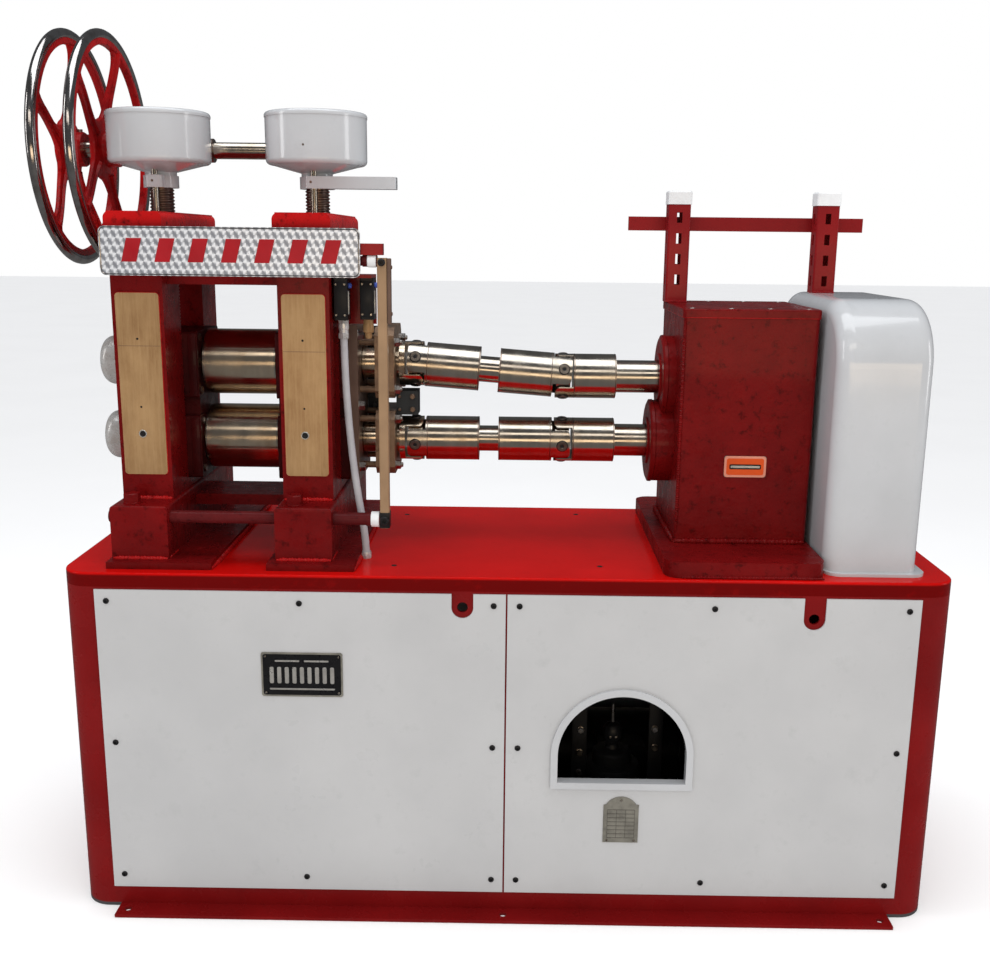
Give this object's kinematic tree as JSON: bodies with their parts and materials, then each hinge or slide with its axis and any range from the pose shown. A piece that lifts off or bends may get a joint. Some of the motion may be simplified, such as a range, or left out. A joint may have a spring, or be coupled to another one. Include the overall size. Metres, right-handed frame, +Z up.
{
  "type": "two-high laboratory rolling mill",
  "caption": "Compact two-high metal rolling mill on a red and white sheet-metal cabinet, with handwheel screwdown, universal-joint spindles and a full-width stop bar.",
  "frame": {"origin": "centre of the cabinet's footprint, on the floor", "axes": "+X along the cabinet from the handwheels to the chain guard, +Y to the back, +Z up"},
  "size_m": [1.592, 0.584, 1.547],
  "materials": {
    "pan_steel": "matt",
    "red_enamel": "gloss",
    "white_enamel": "gloss",
    "label_plate": "satin",
    "dark_iron": "matt",
    "red_cast": "glossy over rough casting",
    "bronze_pad": "brushed",
    "silver_paint": "satin",
    "brown_plate": "satin",
    "black_rubber": "matt",
    "ground_steel": "ground",
    "white_plastic": "gloss",
    "dark_steel": "oiled",
    "turned_aluminium": "engine-turned",
    "tan_lever": "satin",
    "dark_plastic": "matt",
    "grey_conduit": "satin",
    "bright_fitting": "polished"
  },
  "bodies": {
    "stand": {"base_pan": "pan_steel", "foot_rails": "red_enamel", "cabinet_end_left": "red_enamel", "cabinet_end_right": "red_enamel", "upper_rails": "red_enamel", "lower_rails": "red_enamel", "mid_posts": "red_enamel", "top_plate": "red_enamel", "front_panel_left": "white_enamel", "front_panel_right": "white_enamel", "back_panel_left": "white_enamel", "back_panel_right": "white_enamel", "arch_trim": "white_enamel", "nameplates": "label_plate", "drive_motor": "dark_iron", "gear_reducer": "dark_iron", "subplates": "red_enamel", "housing_left": "red_cast", "housing_right": "red_cast", "post_pads": "bronze_pad", "tie_beams": "red_cast", "chocks_left": "red_cast", "chocks_right": "red_cast", "roll_end_caps": "silver_paint", "keeper_plate": "brown_plate", "drive_bearings": "bronze_pad", "joint_block": "black_rubber", "pinion_stand": "red_cast", "pinion_cover": "red_cast", "chain_guard": "white_enamel", "upright_left": "red_enamel", "upright_right": "red_enamel", "upright_caps": "white_plastic", "cross_bar": "red_enamel", "gear_drum_left": "white_enamel", "gear_drum_right": "white_enamel", "collar_left": "white_enamel", "collar_arm": "white_enamel", "screws": "dark_steel", "guide_rods": "ground_steel", "limit_switches": "dark_plastic", "switch_bracket": "red_enamel", "conduit": "grey_conduit", "conduit_fittings": "bright_fitting"},
    "lower_roll": {"lower_roll": "ground_steel"},
    "upper_roll": {"upper_roll": "ground_steel"},
    "lower_spindle": {"lower_spindle": "ground_steel"},
    "upper_spindle": {"upper_spindle": "ground_steel"},
    "lower_drive_shaft": {"lower_drive_shaft": "ground_steel"},
    "upper_drive_shaft": {"upper_drive_shaft": "ground_steel"},
    "inner_handwheel": {"inner_handwheel": "red_cast"},
    "outer_handwheel": {"outer_handwheel": "red_cast", "cross_shaft": "ground_steel"},
    "stop_bar": {"sign_plate": "turned_aluminium", "stop_rails": "dark_steel", "stop_head": "red_enamel", "lever_bar": "tan_lever"}
  },
  "joints": [
    {"name": "lower_roll_spin", "type": "hinge", "parent": "stand", "child": "lower_roll", "pos_m": [-0.4915, 0.02, 0.818], "axis": [1, 0, 0], "continuous": true},
    {"name": "upper_roll_spin", "type": "hinge", "parent": "stand", "child": "upper_roll", "pos_m": [-0.4915, 0.02, 0.958], "axis": [1, 0, 0], "continuous": true},
    {"name": "lower_spindle_spin", "type": "hinge", "parent": "stand", "child": "lower_spindle", "pos_m": [-0.174, 0.02, 0.818], "axis": [1, 0, 0], "continuous": true},
    {"name": "upper_spindle_spin", "type": "hinge", "parent": "stand", "child": "upper_spindle", "pos_m": [-0.174, 0.02, 0.958], "axis": [0.9973, 0, -0.0731], "continuous": true},
    {"name": "lower_drive_shaft_spin", "type": "hinge", "parent": "stand", "child": "lower_drive_shaft", "pos_m": [0.099, 0.02, 0.818], "axis": [1, 0, 0], "continuous": true},
    {"name": "upper_drive_shaft_spin", "type": "hinge", "parent": "stand", "child": "upper_drive_shaft", "pos_m": [0.099, 0.02, 0.938], "axis": [1, 0, 0], "continuous": true},
    {"name": "inner_handwheel_spin", "type": "hinge", "parent": "stand", "child": "inner_handwheel", "pos_m": [-0.742, 0.082, 1.339], "axis": [1, 0, 0], "continuous": true},
    {"name": "outer_handwheel_spin", "type": "hinge", "parent": "stand", "child": "outer_handwheel", "pos_m": [-0.806, 0.082, 1.339], "axis": [1, 0, 0], "continuous": true},
    {"name": "stop_bar_swing", "type": "hinge", "parent": "stand", "child": "stop_bar", "pos_m": [-0.4915, -0.185, 0.71], "axis": [-1, 0, 0], "range_deg": [0, 1.5], "stiffness_Nm_per_rad": 60, "springref_deg": -2.86}
  ],
  "couplings": [
    {"joint": "upper_roll_spin", "follows": "lower_roll_spin", "ratio": -1},
    {"joint": "lower_spindle_spin", "follows": "lower_roll_spin", "ratio": 1},
    {"joint": "upper_spindle_spin", "follows": "lower_roll_spin", "ratio": -1},
    {"joint": "lower_drive_shaft_spin", "follows": "lower_roll_spin", "ratio": 1},
    {"joint": "upper_drive_shaft_spin", "follows": "lower_roll_spin", "ratio": -1}
  ]
}
